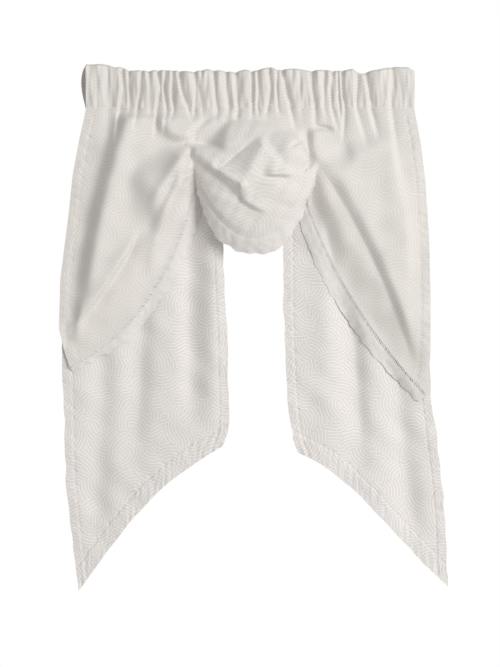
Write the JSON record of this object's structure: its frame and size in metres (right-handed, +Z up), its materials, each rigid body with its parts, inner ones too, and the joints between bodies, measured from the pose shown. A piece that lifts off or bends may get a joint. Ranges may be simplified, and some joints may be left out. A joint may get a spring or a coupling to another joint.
{
  "type": "balloon valance",
  "caption": "Hung off-white balloon valance: gathered rod pocket, front panel drawn up into a pouf between swags, openwork ladder edging and slanted tails behind.",
  "frame": {"origin": "middle of the heading's top edge, at the height of its ends, in the rod's middle plane", "axes": "+Z up, +X to the right seen from the front, the front faces -Y"},
  "size_m": [0.6763, 0.0833, 0.914],
  "materials": {
    "jacquard_cloth": "matte jacquard weave",
    "edging_cloth": "matte plain weave"
  },
  "bodies": {
    "root": {"heading": "jacquard_cloth", "balloon_panel": "jacquard_cloth", "tail_left": "jacquard_cloth", "tail_right": "jacquard_cloth", "ladder_edging_left": "edging_cloth", "ladder_edging_pouf": "edging_cloth", "ladder_edging_right": "edging_cloth"}
  },
  "joints": []
}
